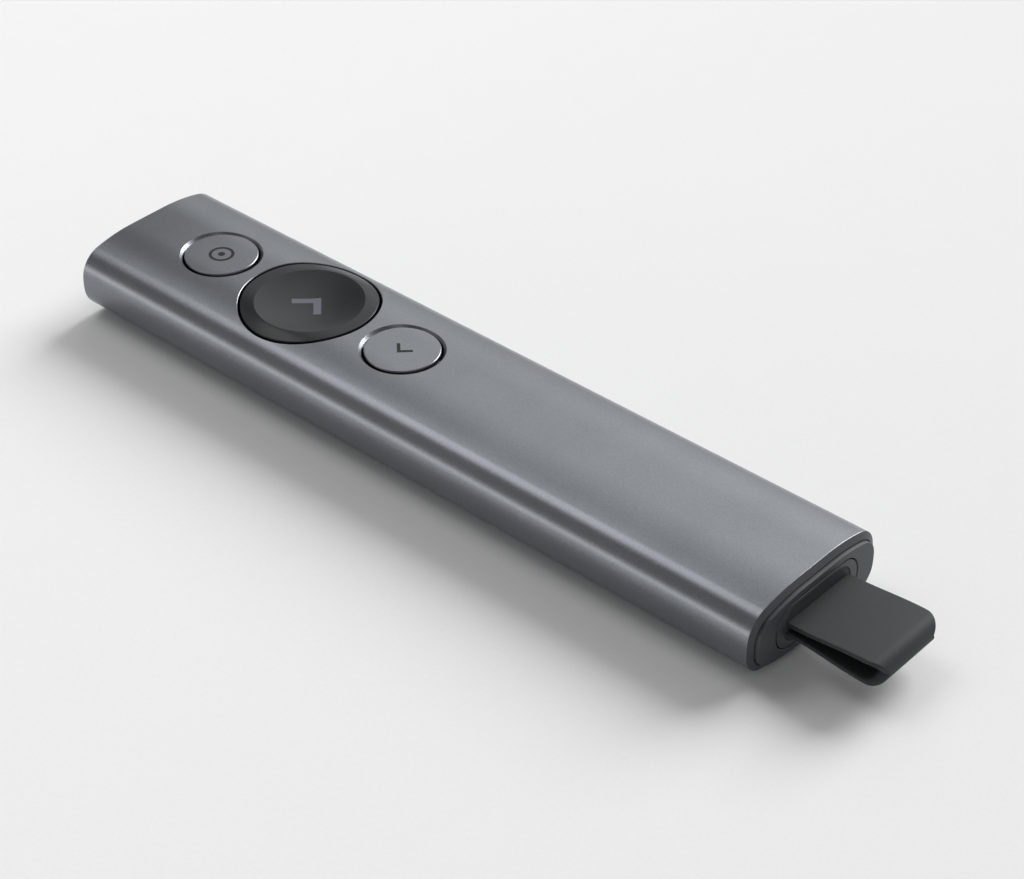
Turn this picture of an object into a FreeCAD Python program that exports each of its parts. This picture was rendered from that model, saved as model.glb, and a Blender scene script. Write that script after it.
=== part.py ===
import FreeCAD, Part
import math
import os
from FreeCAD import Vector

# Wireless presentation clicker, in millimetres.
# The front, which points at the screen, is at -X, and the receiver's strap leaves the rear at +X.
# +Z is up out of the button face, and the origin is the centre of the flat that it rests on.

# Housing sleeve, a flattened oval tube
SLEEVE_LENGTH = 130.3
BODY_WIDTH = 28.1
BODY_HEIGHT = 12.1
CROWN_RADIUS = 30.0
NOSE_RADIUS = 12.0
CROWN_END_ANGLE = 76.0
NOSE_START_ANGLE = 6.0
SLEEVE_WALL = 1.0

# Clearances
SLIP_GAP = 0.06
RUNNING_GAP = 0.1
GLUE_GAP = 0.03

# Buttons
POINTER_FROM_FRONT = 17.08
BUTTON_PITCH = 19.35
ROUND_CAP_RADIUS = 5.72
ROUND_CAP_GAP = 0.33
ROUND_HOLE_BEVEL = 0.47
NEXT_CAP_MARGIN = 3.55
NEXT_CAP_GAP = 0.42
NEXT_CAP_DEPTH = 2.2
ROUND_CAP_DEPTH = 1.8
DISH_RIM = 2.1
DISH_DEPTH = 0.9
CAP_LIP = 0.6
CAP_LIP_THICKNESS = 0.55
CAP_LIP_HALF_WIDTH = 2.5
PLUNGER_RADIUS = 1.6
ROUND_TRAVEL = 0.3
NEXT_TRAVEL = 0.4

# Signs on the buttons
SIGN_DEPTH = 0.25
RING_OUTER_RADIUS = 2.0
RING_INNER_RADIUS = 1.52
DOT_RADIUS = 0.56
NEXT_ARM = 4.45
NEXT_STROKE = 1.17
NEXT_APEX_Y = 2.4
BACK_ARM = 2.35
BACK_STROKE = 0.53
BACK_APEX_Y = -1.2

# Tactile switches
SWITCH_SIDE = 4.4
SWITCH_HEIGHT = 1.2
SWITCH_FLOOR = 0.25
STEM_RADIUS = 0.9
STEM_REACH = 0.6

# Front cap
FRONT_CAP_DEPTH = 3.0
FRONT_CAP_WALL = 1.2

# End ring and end cap
RING_INSET = 1.0
RING_SLOPE_LENGTH = 0.5
RING_FLANGE = 0.25
RING_LEDGE = 0.85
PLATE_PROUD = 1.1
PLATE_GAP = 0.12

# Screws
SCREW_RADIUS = 0.7
SCREW_HEAD_RADIUS = 1.25
SCREW_SIDES = 12
FRAME_SCREW_HEAD_HEIGHT = 0.7
FRAME_SCREW_LENGTH = 3.2
FRAME_SCREW_FROM_TRAY_FRONT = 3.85
FRAME_SCREW_FROM_PORT = 5.85
FRAME_SCREW_FROM_BOARD_EDGE = 2.9
END_SCREW_HEAD_HEIGHT = 0.5
END_SCREW_LENGTH = 6.0
END_SCREW_FROM_BAY = 2.15

# Circuit board and the frames that hold it
TRAY_FLOOR = 0.8
BOARD_DROP = 4.9
BOARD_THICKNESS = 0.8
BOARD_SIDE_MARGIN = 2.95
BOARD_LEDGE = 2.4
BOARD_GAP = 0.2
BOARD_CORNER = 2.0
FRAME_THICKNESS = 0.8
FRAME_END_GAP = 0.3
GUIDE_ROOM_GAP = 0.4
GUIDE_WALL = 0.8
GUIDE_HEIGHT = 1.3
GUIDE_TOP = 0.7
BOSS_HALF_SIDE = 1.7

# Parts on the board, with their places along it measured from a button's centre
CHIP_HEIGHT = 0.9
RADIO_CHIP_SIDE = 6.0
RADIO_CHIP_FROM_NEXT = 4.72
RADIO_CHIP_Y = -3.5
MOTION_CHIP_SIDE = 3.0
MOTION_CHIP_FROM_NEXT = -7.28
MOTION_CHIP_Y = 4.0
CRYSTAL_SIDE = 2.5
CRYSTAL_HEIGHT = 0.6
CRYSTAL_FROM_NEXT = 12.22
CRYSTAL_Y = 4.5
ANTENNA_LENGTH = 7.0
ANTENNA_WIDTH = 2.0
ANTENNA_HEIGHT = 1.1
ANTENNA_FROM_POINTER = 4.57
STATUS_LIGHT_FROM_BACK = 2.37
LED_SIZE = 1.6
LED_HEIGHT = 0.6
LIGHT_PIPE_RADIUS = 0.55

# Battery and vibration motor
BATTERY_FROM_STATUS_LIGHT = 3.0
BATTERY_FROM_PORT = 4.85
BATTERY_SIDE_GAP = 0.5
BATTERY_HEAD_ROOM = 0.64
BATTERY_EDGE = 1.2
RIB_THICKNESS = 0.8
RIB_HEIGHT = 1.4
LEAD_WIDTH = 1.0
LEAD_THICKNESS = 0.3
LEAD_SPACING = 3.0
LEAD_REACH = 1.6
LEAD_RISE = 0.2
MOTOR_FROM_POINTER = -1.93
MOTOR_RADIUS = 4.0
MOTOR_HEIGHT = 2.7
MOTOR_RIB_WIDTH = 4.0

# Charging port at the inner end of the receiver bay
PORT_WIDTH = 8.94
PORT_HEIGHT = 3.26
PORT_LENGTH = 7.3
PORT_WALL = 0.28
PORT_TONGUE_WIDTH = 6.7
PORT_TONGUE_HEIGHT = 0.7
BAY_END_WALL = 1.8
BAY_SPARE = 1.2

# Receiver
RECEIVER_SIDE_WALL = 5.15
RECEIVER_TOP_WALL = 2.5
RECEIVER_SIDE_FLAT = 0.5
RECEIVER_LENGTH = 12.0
RECEIVER_GAP = 0.15
PLUG_WIDTH = 12.0
PLUG_HEIGHT = 4.5
PLUG_WALL = 0.3
PLUG_LENGTH = 12.0
PLUG_ROOT = 8.0
PLUG_CORNER = 0.5
PLUG_WINDOW = 2.4
PLUG_WINDOW_FROM_TIP = 5.2
PLUG_WINDOW_SPACING = 4.6
TONGUE_THICKNESS = 1.9
TONGUE_LENGTH = 11.6
CONTACT_PITCH = 2.3
CONTACT_WIDTH = 1.0
CONTACT_THICKNESS = 0.15
CONTACT_LENGTH = 7.4
CONTACT_FROM_TIP = 1.2
RECEIVER_BOARD_LENGTH = 9.0
RECEIVER_BOARD_THICKNESS = 0.8
RECEIVER_CHIP_SIZE = 4.0
RECEIVER_CHIP_HEIGHT = 0.8

# Strap loop of the receiver
RECESS_SIDE_RIM = 1.6
RECESS_TOP_RIM = 0.6
RECESS_SIDE_FLAT = 0.7
RECESS_DEPTH = 0.7
STRAP_SHOULDER = 0.6
STRAP_COLLAR_SINK = 0.15
STRAP_COLLAR_RISE = 0.8
STRAP_ROOT_HEIGHT = 2.16
STRAP_TIP_RADIUS = 2.0
STRAP_REACH = 15.75
STRAP_GAP_ROOT_HEIGHT = 0.8
STRAP_GAP_TIP_RADIUS = 1.3
STRAP_TIP_WALL = 1.6

# Places and fitted sizes worked out from the sizes above
MID_Z = BODY_HEIGHT / 2
REAR_X = SLEEVE_LENGTH / 2
FRONT_X = -SLEEVE_LENGTH / 2
POINTER_BUTTON_X = FRONT_X + POINTER_FROM_FRONT
NEXT_BUTTON_X = POINTER_BUTTON_X + BUTTON_PITCH
BACK_BUTTON_X = NEXT_BUTTON_X + BUTTON_PITCH
BUTTON_CENTRES = (POINTER_BUTTON_X, NEXT_BUTTON_X, BACK_BUTTON_X)
NEXT_CAP_RADIUS = BODY_WIDTH / 2 - NEXT_CAP_MARGIN
DISH_RADIUS = NEXT_CAP_RADIUS - DISH_RIM
PLATE_FACE_X = REAR_X + PLATE_PROUD
PLATE_SEAT_X = REAR_X + RING_FLANGE
LEDGE_X = PLATE_SEAT_X - RING_LEDGE
BAY_END_X = PLATE_FACE_X - RECEIVER_LENGTH - PLUG_LENGTH - BAY_SPARE
TRAY_END_X = BAY_END_X - BAY_END_WALL
PORT_REAR_X = BAY_END_X - BAY_END_WALL / 2
PORT_FRONT_X = PORT_REAR_X - PORT_LENGTH
INNER_INSET = SLEEVE_WALL + SLIP_GAP
TRAY_FRONT_X = FRONT_X + FRONT_CAP_DEPTH + FRAME_END_GAP
FLOOR_TOP = INNER_INSET + TRAY_FLOOR
BOARD_TOP = BODY_HEIGHT - BOARD_DROP
BOARD_BOTTOM = BOARD_TOP - BOARD_THICKNESS
BOARD_HALF_WIDTH = BODY_WIDTH / 2 - BOARD_SIDE_MARGIN
BOARD_REAR_X = TRAY_END_X - BOARD_GAP
CAVITY_HALF_WIDTH = BOARD_HALF_WIDTH - BOARD_LEDGE
FRAME_TOP = BOARD_TOP + FRAME_THICKNESS
GUIDE_HALF_ROOM = SWITCH_SIDE / 2 + GUIDE_ROOM_GAP
STEM_TOP = BOARD_TOP + SWITCH_HEIGHT + STEM_REACH
FRAME_SCREW_Y = BOARD_HALF_WIDTH - FRAME_SCREW_FROM_BOARD_EDGE
FRAME_SCREW_FRONT_X = TRAY_FRONT_X + FRAME_SCREW_FROM_TRAY_FRONT
FRAME_SCREW_REAR_X = PORT_FRONT_X - FRAME_SCREW_FROM_PORT
FRAME_SCREW_PLACES = [(x, y) for x in (FRAME_SCREW_FRONT_X, FRAME_SCREW_REAR_X)
                      for y in (-FRAME_SCREW_Y, FRAME_SCREW_Y)]
STATUS_LIGHT_X = BACK_BUTTON_X + STATUS_LIGHT_FROM_BACK
BATTERY_FRONT_X = STATUS_LIGHT_X + BATTERY_FROM_STATUS_LIGHT
BATTERY_REAR_X = PORT_FRONT_X - BATTERY_FROM_PORT
BATTERY_HALF_WIDTH = FRAME_SCREW_Y - BOSS_HALF_SIDE - BATTERY_SIDE_GAP
BATTERY_HEIGHT = BOARD_BOTTOM - FLOOR_TOP - BATTERY_HEAD_ROOM
MOTOR_X = POINTER_BUTTON_X + MOTOR_FROM_POINTER
RECEIVER_WIDTH = BODY_WIDTH - 2 * RECEIVER_SIDE_WALL
RECEIVER_HEIGHT = BODY_HEIGHT - 2 * RECEIVER_TOP_WALL
RECEIVER_CORNER = (RECEIVER_HEIGHT - RECEIVER_SIDE_FLAT) / 2
END_SCREW_Y = RECEIVER_WIDTH / 2 + RECEIVER_GAP + END_SCREW_FROM_BAY
END_SCREW_SEAT_X = PLATE_SEAT_X - END_SCREW_HEAD_HEIGHT
RECESS_WIDTH = RECEIVER_WIDTH - 2 * RECESS_SIDE_RIM
RECESS_HEIGHT = RECEIVER_HEIGHT - 2 * RECESS_TOP_RIM
RECESS_CORNER = (RECESS_HEIGHT - RECESS_SIDE_FLAT) / 2
STRAP_WIDTH = RECESS_WIDTH - 2 * STRAP_SHOULDER

ALONG_X = Vector(1, 0, 0)
ALONG_Y = Vector(0, 1, 0)
ALONG_Z = Vector(0, 0, 1)


def save(name, *solids):
    """Write one sub-part, which may be a group of separate solids."""
    shape = solids[0] if len(solids) == 1 else Part.makeCompound(list(solids))
    shape.exportStep("parts/" + name + ".step")


def box(x_range, y_range, z_range):
    """Box between the given limits."""
    size = [span[1] - span[0] for span in (x_range, y_range, z_range)]
    return Part.makeBox(size[0], size[1], size[2], Vector(x_range[0], y_range[0], z_range[0]))


def rod(radius, x, y, z_low, z_high):
    """Upright cylinder."""
    return Part.makeCylinder(radius, z_high - z_low, Vector(x, y, z_low), ALONG_Z)


def outline_arcs(inset):
    """The crown, shoulder and nose arcs of one quarter, as (centre, radius, start, end).

    The crown arc is very flat, the shoulder arc turns the corner and the nose arc closes the
    side, each tangent to the next. An inset keeps the centres and shortens every radius.
    """
    crown_end = math.radians(CROWN_END_ANGLE)
    nose_start = math.radians(NOSE_START_ANGLE)
    spread = math.sin(crown_end) - math.sin(nose_start)
    shoulder = MID_Z - CROWN_RADIUS * (1 - math.sin(crown_end)) - NOSE_RADIUS * math.sin(nose_start)
    shoulder = shoulder / spread
    nose_centre = Vector(0, BODY_WIDTH / 2 - NOSE_RADIUS, 0)
    nose_way = Vector(0, math.cos(nose_start), math.sin(nose_start))
    crown_way = Vector(0, math.cos(crown_end), math.sin(crown_end))
    shoulder_centre = nose_centre - nose_way * (shoulder - NOSE_RADIUS)
    crown_centre = shoulder_centre - crown_way * (CROWN_RADIUS - shoulder)
    return [
        (crown_centre, CROWN_RADIUS - inset, math.pi / 2, crown_end),
        (shoulder_centre, shoulder - inset, crown_end, nose_start),
        (nose_centre, NOSE_RADIUS - inset, nose_start, -nose_start),
    ]


def body_wire(inset, x):
    """Outline of the body: flats above and below, and on each side five tangent arcs."""

    def place(arc, angle, side, level):
        centre, radius = arc[0], arc[1]
        y = centre.y + radius * math.cos(angle)
        z = centre.z + radius * math.sin(angle)
        return Vector(x, side * y, MID_Z + level * z)

    crown, shoulder, nose = outline_arcs(inset)
    edges = []
    for side in (1, -1):
        for arc, level in ((crown, 1), (shoulder, 1), (nose, 1), (shoulder, -1), (crown, -1)):
            start, end = arc[2], arc[3]
            ends = [place(arc, angle, side, level) for angle in (start, (start + end) / 2, end)]
            edges.append(Part.Arc(*ends).toShape())
    for level in (1, -1):
        right = place(crown, crown[2], 1, level)
        left = place(crown, crown[2], -1, level)
        edges.append(Part.makeLine(right, left))
    return Part.Wire(Part.__sortEdges__(edges))


def body_prism(inset, x_low, x_high):
    """The body's outline, drawn in by an inset and extruded along the length."""
    return Part.Face(body_wire(inset, x_low)).extrude(ALONG_X * (x_high - x_low))


def body_loft(*stations):
    """Straight-sided solid through outlines given as (inset, x)."""
    return Part.makeLoft([body_wire(inset, x) for inset, x in stations], True, True)


def slot_wire(width, height, corner, x, z=MID_Z):
    """Rounded rectangle across the length, centred on the body's mid plane."""
    half_width = width / 2 - corner
    half_height = height / 2 - corner
    diagonal = corner * math.sqrt(0.5)
    edges = []
    for side, level in ((1, 1), (1, -1), (-1, -1), (-1, 1)):
        y = side * half_width
        centre_z = z + level * half_height
        edges.append(Part.Arc(Vector(x, y, centre_z + level * corner),
                              Vector(x, y + side * diagonal, centre_z + level * diagonal),
                              Vector(x, y + side * corner, centre_z)).toShape())
    for level in (1, -1):
        flat_z = z + level * height / 2
        edges.append(Part.makeLine(Vector(x, half_width, flat_z), Vector(x, -half_width, flat_z)))
    for side in (1, -1):
        flat_y = side * width / 2
        if half_height > 0:
            edges.append(Part.makeLine(Vector(x, flat_y, z + half_height), Vector(x, flat_y, z - half_height)))
    return Part.Wire(Part.__sortEdges__(edges))


def slot_prism(width, height, corner, x_low, x_high, z=MID_Z):
    """Rounded rectangle extruded along the length."""
    return Part.Face(slot_wire(width, height, corner, x_low, z)).extrude(ALONG_X * (x_high - x_low))


def turned(profile, x, y=0.0):
    """Solid of revolution about an upright axis, from (radius, z) points."""
    points = [Vector(x + radius, y, z) for radius, z in profile]
    points.append(points[0])
    face = Part.Face(Part.makePolygon(points))
    return face.revolve(Vector(x, y, 0), ALONG_Z, 360)


def chevron(x, apex_y, arm, stroke, z_low, z_high):
    """Upright prism of a right-angled arrow sign, symmetric about x, with square-cut ends.

    The apex points towards the sign of apex_y.
    """
    way = math.copysign(1.0, apex_y)
    run = arm * math.sqrt(0.5)
    thick = stroke * math.sqrt(0.5)
    outline = [
        (0.0, 0.0), (run, -run), (run - thick, -run - thick), (0.0, -2 * thick),
        (thick - run, -run - thick), (-run, -run),
    ]
    points = [Vector(x + across, apex_y + way * back, z_low) for across, back in outline]
    points.append(points[0])
    return Part.Face(Part.makePolygon(points)).extrude(ALONG_Z * (z_high - z_low))


def chip(name, place_x, place_y, side, height):
    """Square chip soldered to the underside of the board."""
    half = side / 2
    save(name, box((place_x - half, place_x + half), (place_y - half, place_y + half),
                   (BOARD_BOTTOM - height, BOARD_BOTTOM)))


def fastener_prism(radius, low, high):
    """Upright prism with a few sides on the Z axis, for a small screw's shank, head or hole."""
    turns = [2 * math.pi * step / SCREW_SIDES for step in range(SCREW_SIDES)]
    corners = [Vector(radius * math.cos(turn), radius * math.sin(turn), low) for turn in turns]
    corners.append(corners[0])
    return Part.Face(Part.makePolygon(corners)).extrude(ALONG_Z * (high - low))


def small_screw(head_height, length):
    """Screw that points down from the origin, which is under its head."""
    shank = fastener_prism(SCREW_RADIUS, -length, 0.0)
    return shank.fuse(fastener_prism(SCREW_HEAD_RADIUS, 0.0, head_height)).removeSplitter()


def upright_at(shape, x, y, z=0.0):
    """Move an upright shape from the Z axis to its place."""
    shape.translate(Vector(x, y, z))
    return shape


def lengthways_at(shape, x, y):
    """Lay an upright shape along +X, on the body's mid plane, with its origin at x and y."""
    shape.rotate(Vector(0, 0, 0), ALONG_Y, 90)
    shape.translate(Vector(x, y, MID_Z))
    return shape


def make_sleeve():
    """Extruded aluminium tube with three milled button holes and a pin hole underneath."""
    sleeve = body_prism(0.0, FRONT_X, REAR_X)
    sleeve = sleeve.cut(body_prism(SLEEVE_WALL, FRONT_X - 1, REAR_X + 1))
    round_hole = ROUND_CAP_RADIUS + ROUND_CAP_GAP
    above = BODY_HEIGHT + ROUND_HOLE_BEVEL
    for x in (POINTER_BUTTON_X, BACK_BUTTON_X):
        bevel_profile = [(0.0, MID_Z), (round_hole, MID_Z), (round_hole, BODY_HEIGHT - ROUND_HOLE_BEVEL),
                         (round_hole + 2 * ROUND_HOLE_BEVEL, above), (0.0, above)]
        sleeve = sleeve.cut(turned(bevel_profile, x))
    sleeve = sleeve.cut(rod(NEXT_CAP_RADIUS + NEXT_CAP_GAP, NEXT_BUTTON_X, 0.0, MID_Z, above))
    sleeve = sleeve.cut(rod(LIGHT_PIPE_RADIUS + GLUE_GAP, STATUS_LIGHT_X, 0.0, -1.0, MID_Z))
    save("housing_sleeve", sleeve)


def make_front_cap():
    """Plastic plug, flush with the sleeve's front end, with a skirt that grips inside."""
    outer = body_prism(INNER_INSET, FRONT_X, FRONT_X + FRONT_CAP_DEPTH)
    hollow = body_prism(INNER_INSET + FRONT_CAP_WALL, FRONT_X + FRONT_CAP_WALL, FRONT_X + FRONT_CAP_DEPTH + 1)
    save("front_cap", outer.cut(hollow))


def bay_prism(x_low, x_high):
    """Space that the receiver slides in."""
    return slot_prism(RECEIVER_WIDTH + 2 * RECEIVER_GAP, RECEIVER_HEIGHT + 2 * RECEIVER_GAP,
                      RECEIVER_CORNER + RECEIVER_GAP, x_low, x_high)


def make_end_ring():
    """Rear ring with a sloping rim and a ledge that the end cap sits on, inside the sleeve's end."""
    rim = body_loft((0.0, REAR_X), (RING_INSET, REAR_X + RING_SLOPE_LENGTH))
    ring = rim.fuse(body_prism(INNER_INSET, LEDGE_X, REAR_X)).removeSplitter()
    ring = ring.cut(body_prism(RING_INSET + PLATE_GAP / 2, PLATE_SEAT_X, REAR_X + 1))
    ring = ring.cut(bay_prism(LEDGE_X - 1, PLATE_SEAT_X + 1))
    for y in (-END_SCREW_Y, END_SCREW_Y):
        head_room = fastener_prism(SCREW_HEAD_RADIUS + RUNNING_GAP, 0.0, RING_LEDGE)
        shank_room = fastener_prism(SCREW_RADIUS + RUNNING_GAP, -RING_LEDGE, RING_LEDGE)
        ring = ring.cut(lengthways_at(head_room.fuse(shank_room), END_SCREW_SEAT_X, y))
    save("end_ring", ring)


def make_end_cap():
    """Plate that closes the rear, with the mouth of the bay."""
    plate = body_prism(RING_INSET + PLATE_GAP * 1.5, PLATE_SEAT_X, PLATE_FACE_X)
    save("end_cap", plate.cut(bay_prism(PLATE_SEAT_X - 1, PLATE_FACE_X + 1)))


def make_end_screws():
    """Two thin-headed screws that hold the ring on the carrier, under the end cap."""
    screws = []
    for y in (-END_SCREW_Y, END_SCREW_Y):
        screws.append(lengthways_at(small_screw(END_SCREW_HEAD_HEIGHT, END_SCREW_LENGTH), END_SCREW_SEAT_X, y))
    save("end_screws", *screws)


def make_lower_carrier():
    """Moulded tray under the board, with the receiver bay as its rear block."""
    half_width = BODY_WIDTH / 2
    board_room = BOARD_HALF_WIDTH + BOARD_GAP
    wall_x = TRAY_FRONT_X + TRAY_FLOOR
    tray = body_prism(INNER_INSET, TRAY_FRONT_X, LEDGE_X)
    tray = tray.cut(bay_prism(BAY_END_X, LEDGE_X + 1))
    tray = tray.cut(box((TRAY_FRONT_X - 1, TRAY_END_X), (-half_width, half_width), (BOARD_TOP, BODY_HEIGHT)))
    tray = tray.cut(box((wall_x, TRAY_END_X), (-board_room, board_room), (BOARD_BOTTOM, BODY_HEIGHT)))
    tray = tray.cut(box((wall_x + TRAY_FLOOR, TRAY_END_X), (-CAVITY_HALF_WIDTH, CAVITY_HALF_WIDTH),
                        (FLOOR_TOP, BODY_HEIGHT)))
    added = []
    for x, y in FRAME_SCREW_PLACES:
        added.append(box((x - BOSS_HALF_SIDE, x + BOSS_HALF_SIDE), (y - BOSS_HALF_SIDE, y + BOSS_HALF_SIDE),
                         (FLOOR_TOP, BOARD_BOTTOM)))
    ribs = [(BATTERY_REAR_X, BATTERY_HALF_WIDTH, 1), (BATTERY_FRONT_X, BATTERY_HALF_WIDTH, -1),
            (MOTOR_X + MOTOR_RADIUS, MOTOR_RIB_WIDTH / 2, 1), (MOTOR_X - MOTOR_RADIUS, MOTOR_RIB_WIDTH / 2, -1)]
    for face_x, half_rib, way in ribs:
        near = face_x + way * RUNNING_GAP
        far = near + way * RIB_THICKNESS
        added.append(box((min(near, far), max(near, far)), (-half_rib, half_rib),
                         (FLOOR_TOP, FLOOR_TOP + RIB_HEIGHT)))
    tray = tray.fuse(added).removeSplitter()
    for x, y in FRAME_SCREW_PLACES:
        hole = fastener_prism(SCREW_RADIUS + GLUE_GAP, -FRAME_SCREW_LENGTH - RUNNING_GAP, 0.0)
        tray = tray.cut(upright_at(hole, x, y, FRAME_TOP))
    for y in (-END_SCREW_Y, END_SCREW_Y):
        hole = fastener_prism(SCREW_RADIUS + GLUE_GAP, -END_SCREW_LENGTH - RUNNING_GAP, 0.0)
        tray = tray.cut(lengthways_at(hole, END_SCREW_SEAT_X, y))
    port_room = PORT_HEIGHT + 2 * RUNNING_GAP
    port_hole = slot_prism(PORT_WIDTH + 2 * RUNNING_GAP, port_room, port_room / 2 - GLUE_GAP,
                           TRAY_END_X - 1, BAY_END_X + 1)
    tray = tray.cut(port_hole)
    tray = tray.cut(rod(LIGHT_PIPE_RADIUS + GLUE_GAP, STATUS_LIGHT_X, 0.0, 0.0, FLOOR_TOP))
    save("lower_carrier", tray)


def make_upper_frame():
    """Frame that clamps the board, with a square tower over each switch that guides the plunger."""
    slab = box((TRAY_FRONT_X, BOARD_REAR_X), (-BODY_WIDTH, BODY_WIDTH), (BOARD_TOP, FRAME_TOP))
    frame = body_prism(INNER_INSET, TRAY_FRONT_X, BOARD_REAR_X).common(slab)
    tower_top = FRAME_TOP + GUIDE_HEIGHT
    outside = GUIDE_HALF_ROOM + GUIDE_WALL
    towers = [box((x - outside, x + outside), (-outside, outside), (BOARD_TOP, tower_top))
              for x in BUTTON_CENTRES]
    frame = frame.fuse(towers).removeSplitter()
    for x in BUTTON_CENTRES:
        frame = frame.cut(box((x - GUIDE_HALF_ROOM, x + GUIDE_HALF_ROOM), (-GUIDE_HALF_ROOM, GUIDE_HALF_ROOM),
                              (BOARD_BOTTOM, tower_top - GUIDE_TOP)))
        frame = frame.cut(rod(PLUNGER_RADIUS + RUNNING_GAP, x, 0.0, BOARD_TOP, BODY_HEIGHT))
    for x, y in FRAME_SCREW_PLACES:
        hole = fastener_prism(SCREW_RADIUS + RUNNING_GAP, BOARD_BOTTOM, BODY_HEIGHT)
        frame = frame.cut(upright_at(hole, x, y))
    port_room = PORT_WIDTH / 2 + RUNNING_GAP
    frame = frame.cut(box((PORT_FRONT_X - RUNNING_GAP, BOARD_REAR_X + 1), (-port_room, port_room),
                          (BOARD_BOTTOM, BODY_HEIGHT)))
    save("upper_frame", frame)


def make_frame_screws():
    """Four screws through the frame and the board into the tray."""
    screws = []
    for x, y in FRAME_SCREW_PLACES:
        screws.append(upright_at(small_screw(FRAME_SCREW_HEAD_HEIGHT, FRAME_SCREW_LENGTH), x, y, FRAME_TOP))
    save("frame_screws", *screws)


def make_board():
    """Main circuit board with screw holes and a notch for the charging port."""
    front = TRAY_FRONT_X + TRAY_FLOOR + BOARD_GAP
    board = box((front, BOARD_REAR_X), (-BOARD_HALF_WIDTH, BOARD_HALF_WIDTH), (BOARD_BOTTOM, BOARD_TOP))
    corners = [edge for edge in board.Edges
               if abs(edge.Vertexes[0].X - edge.Vertexes[1].X) < GLUE_GAP
               and abs(edge.Vertexes[0].Y - edge.Vertexes[1].Y) < GLUE_GAP]
    board = board.makeFillet(BOARD_CORNER, corners)
    for x, y in FRAME_SCREW_PLACES:
        board = board.cut(upright_at(fastener_prism(SCREW_RADIUS + RUNNING_GAP, BOARD_BOTTOM, BOARD_TOP), x, y))
    notch = PORT_WIDTH / 2 + RUNNING_GAP
    board = board.cut(box((PORT_FRONT_X - RUNNING_GAP, BOARD_REAR_X + 1), (-notch, notch),
                          (BOARD_BOTTOM, BOARD_TOP)))
    save("main_board", board)


def make_board_parts():
    """Radio chip, motion sensor, crystal, antenna and the status light with its light pipe."""
    chip("radio_chip", NEXT_BUTTON_X + RADIO_CHIP_FROM_NEXT, RADIO_CHIP_Y, RADIO_CHIP_SIDE, CHIP_HEIGHT)
    chip("motion_sensor", NEXT_BUTTON_X + MOTION_CHIP_FROM_NEXT, MOTION_CHIP_Y, MOTION_CHIP_SIDE, CHIP_HEIGHT)
    chip("crystal", NEXT_BUTTON_X + CRYSTAL_FROM_NEXT, CRYSTAL_Y, CRYSTAL_SIDE, CRYSTAL_HEIGHT)
    antenna_x = POINTER_BUTTON_X + ANTENNA_FROM_POINTER
    antenna_y = BOARD_GAP - CAVITY_HALF_WIDTH
    save("antenna", box((antenna_x - ANTENNA_WIDTH / 2, antenna_x + ANTENNA_WIDTH / 2),
                        (antenna_y, antenna_y + ANTENNA_LENGTH), (BOARD_BOTTOM - ANTENNA_HEIGHT, BOARD_BOTTOM)))
    chip("status_led", STATUS_LIGHT_X, 0.0, LED_SIZE, LED_HEIGHT)
    pipe_top = BOARD_BOTTOM - LED_HEIGHT - GLUE_GAP
    save("status_light_pipe", rod(LIGHT_PIPE_RADIUS, STATUS_LIGHT_X, 0.0, GLUE_GAP, pipe_top))


def make_battery():
    """Pouch cell on the tray's floor and its two flat leads, which bend up to the board."""
    middle = FLOOR_TOP + BATTERY_HEIGHT / 2
    save("battery_cell", slot_prism(2 * BATTERY_HALF_WIDTH, BATTERY_HEIGHT, BATTERY_EDGE,
                                    BATTERY_FRONT_X, BATTERY_REAR_X, middle))
    lead_z = FLOOR_TOP + RIB_HEIGHT + LEAD_RISE
    upright_x = BATTERY_FRONT_X - LEAD_REACH
    inner_x = upright_x + LEAD_THICKNESS
    inner_z = lead_z + LEAD_THICKNESS
    side_view = [(BATTERY_FRONT_X, lead_z), (upright_x, lead_z), (upright_x, BOARD_BOTTOM),
                 (inner_x, BOARD_BOTTOM), (inner_x, inner_z), (BATTERY_FRONT_X, inner_z)]
    for name, centre in (("battery_lead_plus", LEAD_SPACING / 2), ("battery_lead_minus", -LEAD_SPACING / 2)):
        points = [Vector(x, centre - LEAD_WIDTH / 2, z) for x, z in side_view]
        points.append(points[0])
        save(name, Part.Face(Part.makePolygon(points)).extrude(ALONG_Y * LEAD_WIDTH))


def make_motor():
    """Coin vibration motor on the tray's floor, between two ribs."""
    save("vibration_motor", rod(MOTOR_RADIUS, MOTOR_X, 0.0, FLOOR_TOP, FLOOR_TOP + MOTOR_HEIGHT))


def make_port():
    """Charging port: a drawn shell with a tongue inside, open towards the bay."""
    corner = PORT_HEIGHT / 2 - GLUE_GAP
    inner_width = PORT_WIDTH - 2 * PORT_WALL
    inner_height = PORT_HEIGHT - 2 * PORT_WALL
    shell = slot_prism(PORT_WIDTH, PORT_HEIGHT, corner, PORT_FRONT_X, PORT_REAR_X)
    shell = shell.cut(slot_prism(inner_width, inner_height, corner - PORT_WALL,
                                 PORT_FRONT_X + 1, PORT_REAR_X + 1))
    save("charging_port_shell", shell)
    half_width = PORT_TONGUE_WIDTH / 2
    half_height = PORT_TONGUE_HEIGHT / 2
    save("charging_port_tongue", box((PORT_FRONT_X + 1, PORT_REAR_X - 1), (-half_width, half_width),
                                     (MID_Z - half_height, MID_Z + half_height)))


def make_switch(name, x):
    """Switch housing on the board, with the bore that its stem runs in."""
    half = SWITCH_SIDE / 2
    housing = box((x - half, x + half), (-half, half), (BOARD_TOP, BOARD_TOP + SWITCH_HEIGHT))
    housing = housing.cut(rod(STEM_RADIUS + RUNNING_GAP, x, 0.0, BOARD_TOP + SWITCH_FLOOR, BODY_HEIGHT))
    save(name + "_switch", housing)


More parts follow.
